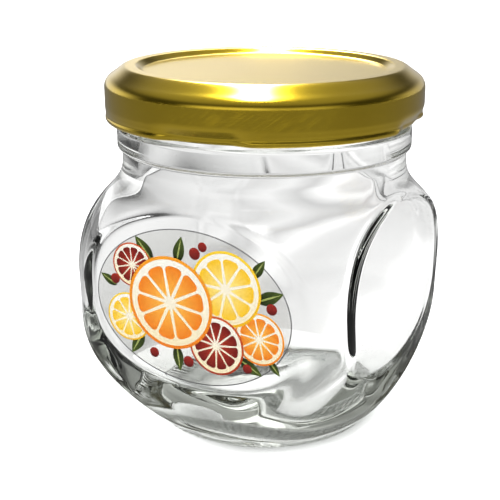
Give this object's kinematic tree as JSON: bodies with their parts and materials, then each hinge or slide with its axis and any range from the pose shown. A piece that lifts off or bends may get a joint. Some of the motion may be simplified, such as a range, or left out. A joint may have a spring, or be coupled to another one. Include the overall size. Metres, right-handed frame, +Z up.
{
  "type": "glass storage jar",
  "caption": "Small clear glass storage jar, round-square with flat oval side panels, a gold twist-off metal lid and an oval clear film label.",
  "frame": {"origin": "middle of the base, on the surface the jar stands on", "axes": "+Z up along the jar's axis, -Y out of the label panel, +X to the right of the label panel"},
  "size_m": [0.068, 0.068, 0.078],
  "materials": {
    "clear_glass": "clear, fire polished",
    "gold_lacquer": "transparent gold lacquer on tinplate, glossy",
    "label_film": "clear film with a printed fruit design"
  },
  "bodies": {
    "root": {"jar": "clear_glass", "lid": "gold_lacquer", "label": "label_film"}
  },
  "joints": []
}
